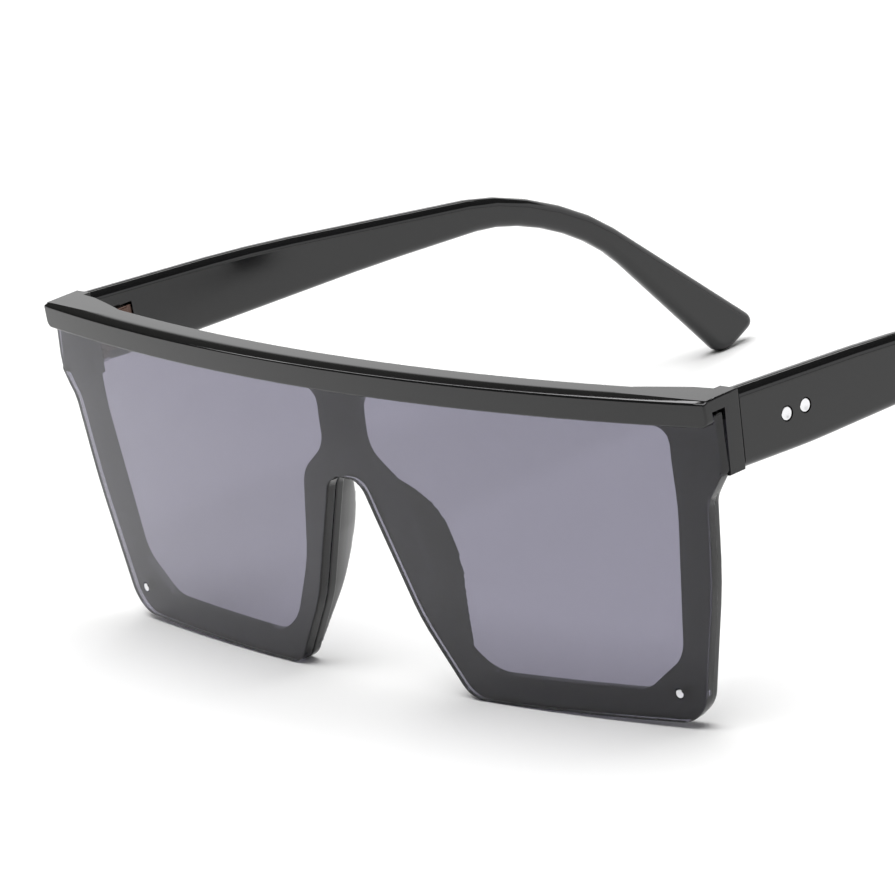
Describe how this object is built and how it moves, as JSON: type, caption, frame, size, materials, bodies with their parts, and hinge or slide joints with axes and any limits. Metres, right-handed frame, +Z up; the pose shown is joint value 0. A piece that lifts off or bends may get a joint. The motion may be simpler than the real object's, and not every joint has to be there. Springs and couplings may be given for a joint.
{
  "type": "shield sunglasses",
  "caption": "Oversized square sunglasses: flat-topped moulded front, wide one-piece tinted lens with a nose cut-out, and broad temples that fold on metal hinges.",
  "frame": {"origin": "on the floor, at the centre of the whole part's box seen from above, temples open", "axes": "+Z up; the front faces -Y and the temples run towards +Y; +X to the right of someone who looks at the front"},
  "size_m": [0.147, 0.14, 0.0485],
  "materials": {
    "black_plastic": "polished black moulding",
    "tinted_lens": "smoke-grey tint, clear and polished",
    "rivet_metal": "polished silver",
    "hinge_metal": "coppery nickel silver, satin",
    "screw_metal": "bright steel"
  },
  "bodies": {
    "front": {"front_frame": "black_plastic", "shield_lens": "tinted_lens", "left_lens_rivet": "rivet_metal", "right_lens_rivet": "rivet_metal", "left_hinge_front_leaf": "hinge_metal", "right_hinge_front_leaf": "hinge_metal", "left_hinge_screw": "screw_metal", "right_hinge_screw": "screw_metal"},
    "left_temple_body": {"left_temple": "black_plastic", "left_hinge_temple_leaf": "hinge_metal", "left_temple_front_rivet": "rivet_metal", "left_temple_rear_rivet": "rivet_metal"},
    "right_temple_body": {"right_temple": "black_plastic", "right_hinge_temple_leaf": "hinge_metal", "right_temple_front_rivet": "rivet_metal", "right_temple_rear_rivet": "rivet_metal"}
  },
  "joints": [
    {"name": "left_temple_fold", "type": "hinge", "parent": "front", "child": "left_temple_body", "pos_m": [-0.0683, -0.05682, 0.042], "axis": [0, 0, -1], "range_deg": [0, 88]},
    {"name": "right_temple_fold", "type": "hinge", "parent": "front", "child": "right_temple_body", "pos_m": [0.0683, -0.05682, 0.042], "axis": [0, 0, 1], "range_deg": [0, 83]}
  ]
}
